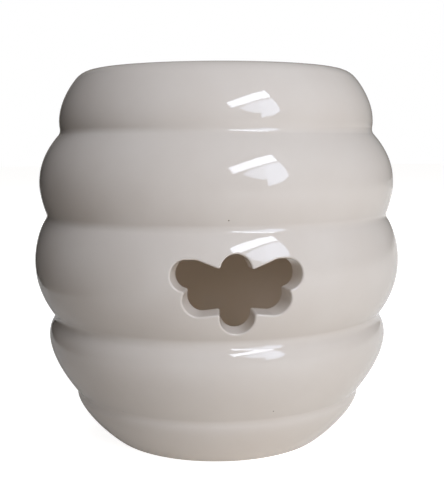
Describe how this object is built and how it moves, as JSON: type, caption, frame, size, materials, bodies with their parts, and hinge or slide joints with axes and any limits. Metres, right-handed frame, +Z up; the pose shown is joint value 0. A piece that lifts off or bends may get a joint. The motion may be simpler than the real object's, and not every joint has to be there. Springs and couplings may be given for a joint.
{
  "type": "aroma oil burner",
  "caption": "Beehive-shaped glazed earthenware oil burner: a shallow dish on top, a tealight chamber below, a bee-shaped cut-out in front and a low arched opening at the back.",
  "frame": {"origin": "centre of the foot ring, on the surface that the burner stands on", "axes": "+Z up; the bee cut-out faces -Y and the tealight opening faces +Y"},
  "size_m": [0.1102, 0.1097, 0.11],
  "materials": {
    "cream_glaze": "gloss"
  },
  "bodies": {
    "root": {"burner_body": "cream_glaze"}
  },
  "joints": []
}
